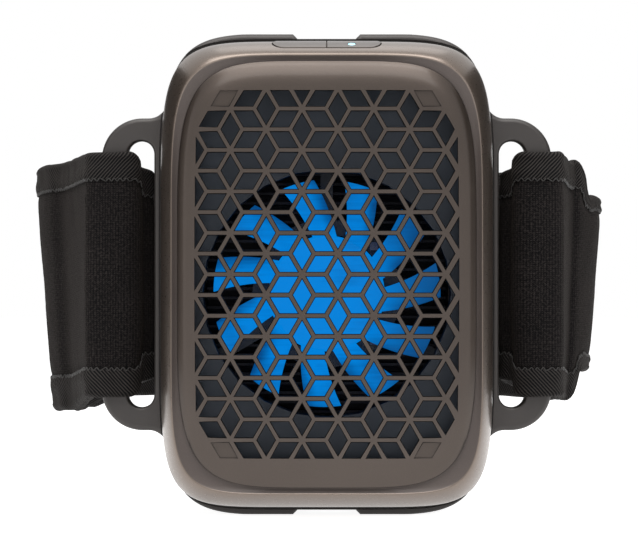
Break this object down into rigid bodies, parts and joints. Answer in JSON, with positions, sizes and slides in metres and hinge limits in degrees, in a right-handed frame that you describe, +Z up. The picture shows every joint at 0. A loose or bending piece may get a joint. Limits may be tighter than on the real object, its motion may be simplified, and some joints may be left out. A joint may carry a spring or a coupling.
{
  "type": "hot cold therapy machine",
  "caption": "Wearable hot and cold therapy device with a tumbling-block grille over a lit fan, press buttons, slotted wings and a padded limb strap.",
  "frame": {"origin": "centre of the device's footprint, strap included, on the surface it stands on", "axes": "+X to the right seen from the front, the grille faces -Y, +Z up"},
  "size_m": [0.1192, 0.102, 0.0942],
  "materials": {
    "case_paint": "metallic taupe paint",
    "panel_paint": "metallic taupe paint, satin",
    "button_paint": "metallic taupe paint",
    "lens_light": "lit lens",
    "circuit_board": "solder mask",
    "chip_black": "moulded",
    "shroud_plastic": "fine texture",
    "fan_plastic": "moulded",
    "lit_plastic": "translucent, lit blue",
    "steel": "zinc plated",
    "magnet": "bonded ferrite",
    "bearing_brass": "sintered",
    "stator": "laminated",
    "lamp": "clear resin",
    "sink_black": "black anodised",
    "silicone": "soft",
    "ceramic_white": "fired",
    "leg_alloy": "soldered",
    "bare_aluminium": "machined",
    "plate_aluminium": "bead blasted and anodised",
    "frame_plastic": "satin",
    "rear_plastic": "satin",
    "cell_wrap": "shrink film",
    "port_steel": "stamped",
    "strap_cloth": "brushed knit on foam",
    "hem_cloth": "twill binding with zigzag stitches",
    "hook_nylon": "hook fastener"
  },
  "bodies": {
    "case": {"front_housing": "case_paint", "grille_panel": "panel_paint", "button_board": "circuit_board", "left_switch": "chip_black", "right_switch": "chip_black", "front_shroud": "shroud_plastic", "fan_frame": "fan_plastic", "fan_bearing": "bearing_brass", "fan_stator": "stator", "light_ring": "circuit_board", "light_chip_1": "lamp", "light_chip_2": "lamp", "light_chip_3": "lamp", "light_chip_4": "lamp", "fan_screw_1": "steel", "fan_screw_2": "steel", "fan_screw_3": "steel", "fan_screw_4": "steel", "heat_sink": "sink_black", "thermal_pad_hot": "silicone", "hot_ceramic": "ceramic_white", "thermocouple_legs": "leg_alloy", "cold_ceramic": "ceramic_white", "thermal_pad_cold": "silicone", "spreader_block": "bare_aluminium", "treatment_plate": "plate_aluminium", "plate_gasket": "silicone", "thermistor": "chip_black", "strap_frame": "frame_plastic", "rear_housing": "rear_plastic", "battery_cradle": "shroud_plastic", "battery_front": "cell_wrap", "battery_rear": "cell_wrap", "main_board": "circuit_board", "board_chip_1": "chip_black", "board_chip_2": "chip_black", "board_chip_3": "chip_black", "board_screw_1": "steel", "board_screw_2": "steel", "charging_port": "port_steel", "housing_screw_1": "steel", "housing_screw_2": "steel", "housing_screw_3": "steel", "housing_screw_4": "steel", "strap_band": "strap_cloth", "strap_binding_top": "hem_cloth", "strap_binding_bottom": "hem_cloth", "flap_hook_patch": "hook_nylon", "tail_hook_patch": "hook_nylon"},
    "fan": {"fan_rotor": "lit_plastic", "fan_shaft": "steel", "fan_magnet_ring": "magnet"},
    "left_key": {"left_button": "button_paint"},
    "right_key": {"right_button": "button_paint", "indicator_lens": "lens_light"}
  },
  "joints": [
    {"name": "fan_spin", "type": "hinge", "parent": "case", "child": "fan", "pos_m": [0, -0.04342, 0.0434], "axis": [0, 1, 0], "continuous": true},
    {"name": "left_press", "type": "slide", "parent": "case", "child": "left_key", "axis": [0, 0, -1], "range_m": [0, 0.00035], "stiffness_N_per_m": 1500},
    {"name": "right_press", "type": "slide", "parent": "case", "child": "right_key", "axis": [0, 0, -1], "range_m": [0, 0.00035], "stiffness_N_per_m": 1500}
  ]
}
